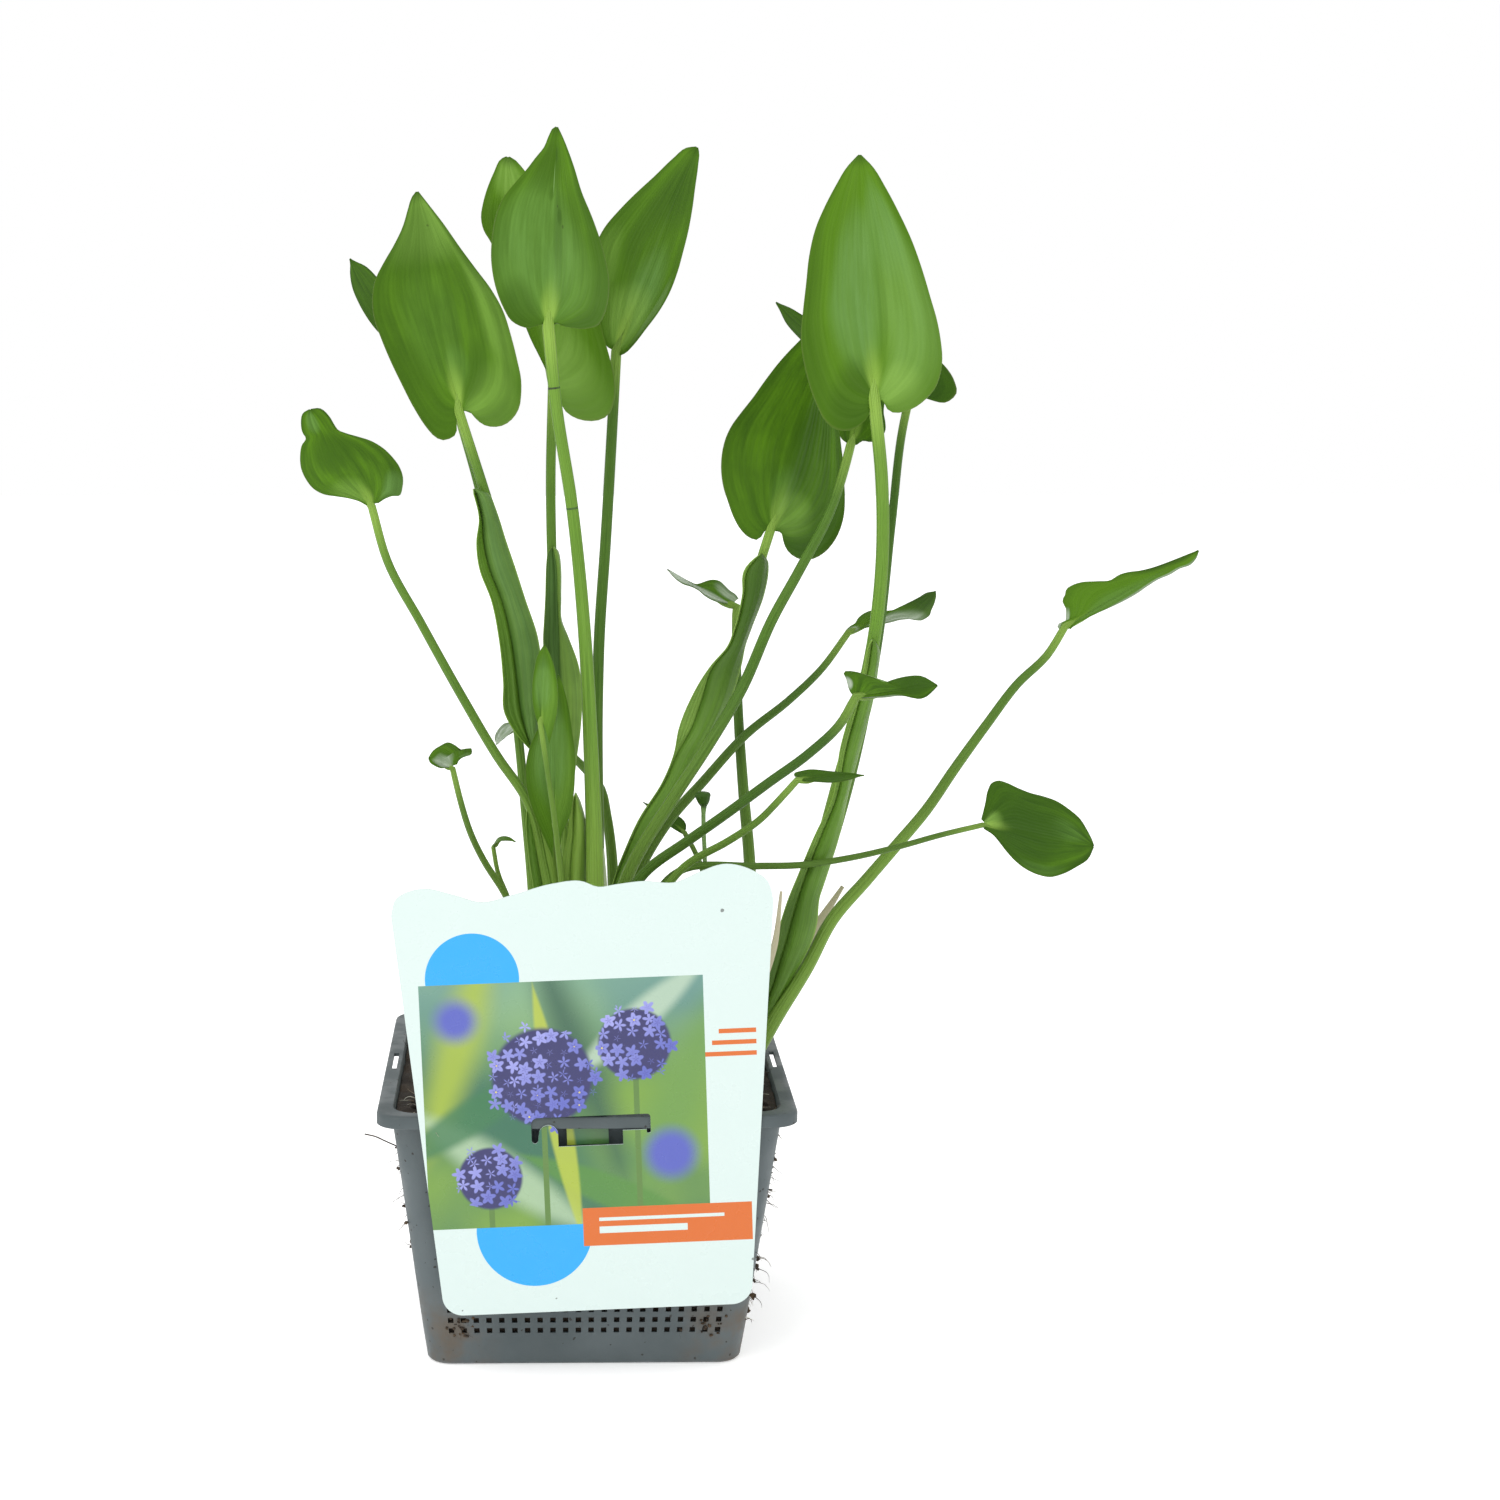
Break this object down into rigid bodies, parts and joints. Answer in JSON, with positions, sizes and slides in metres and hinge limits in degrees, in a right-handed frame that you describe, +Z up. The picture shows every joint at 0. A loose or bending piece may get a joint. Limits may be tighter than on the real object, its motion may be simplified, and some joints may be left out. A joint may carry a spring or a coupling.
{
  "type": "potted pickerel weed",
  "caption": "Upright pond plant with broad glossy leaves on long stalks, growing from a square mesh basket of peat with a card hung on its rim.",
  "frame": {"origin": "centre of the basket's underside", "axes": "+Z up along the stalks, the card at the front facing -Y, +X to its right"},
  "size_m": [0.4107, 0.2031, 0.54],
  "materials": {
    "leaf": "smooth waxy leaf with fine parallel veins",
    "stalk": "smooth fleshy stalk, finely ribbed",
    "sheath": "smooth channelled leaf sheath",
    "shoot": "pale soft shoot",
    "husk": "dry straw-coloured husk",
    "pot": "grey moulded mesh, a little soiled",
    "soil": "dark fibrous peat",
    "label": "printed plastic card"
  },
  "bodies": {
    "root": {"blade_back_curled": "leaf", "blade_centre_back": "leaf", "blade_centre_slim": "leaf", "blade_centre_tall": "leaf", "blade_drooping": "leaf", "blade_far_right": "leaf", "blade_front_slim": "leaf", "blade_front_upright": "leaf", "blade_hook": "leaf", "blade_left_cap": "leaf", "blade_left_curled": "leaf", "blade_left_shaded": "leaf", "blade_left_tall": "leaf", "blade_low_hidden": "leaf", "blade_right_back": "leaf", "blade_right_broad": "leaf", "blade_right_inner": "leaf", "blade_right_low": "leaf", "blade_right_narrow": "leaf", "blade_right_small": "leaf", "blade_right_tall": "leaf", "blade_right_twisted": "leaf", "bud": "stalk", "husk_inner": "husk", "husk_outer": "husk", "label": "label", "pale_shoot": "shoot", "pot": "pot", "sheath_centre_back": "sheath", "sheath_left_tall": "sheath", "sheath_right_broad": "sheath", "sheath_right_tall": "sheath", "soil": "soil", "stalk_back_curled": "stalk", "stalk_centre_back": "stalk", "stalk_centre_slim": "stalk", "stalk_centre_tall": "stalk", "stalk_drooping": "stalk", "stalk_far_right": "stalk", "stalk_front_slim": "stalk", "stalk_front_upright": "stalk", "stalk_hook": "stalk", "stalk_left_cap": "stalk", "stalk_left_curled": "stalk", "stalk_left_shaded": "stalk", "stalk_left_tall": "stalk", "stalk_low_hidden": "stalk", "stalk_right_back": "stalk", "stalk_right_broad": "stalk", "stalk_right_inner": "stalk", "stalk_right_low": "stalk", "stalk_right_narrow": "stalk", "stalk_right_small": "stalk", "stalk_right_tall": "stalk", "stalk_right_twisted": "stalk"}
  },
  "joints": []
}
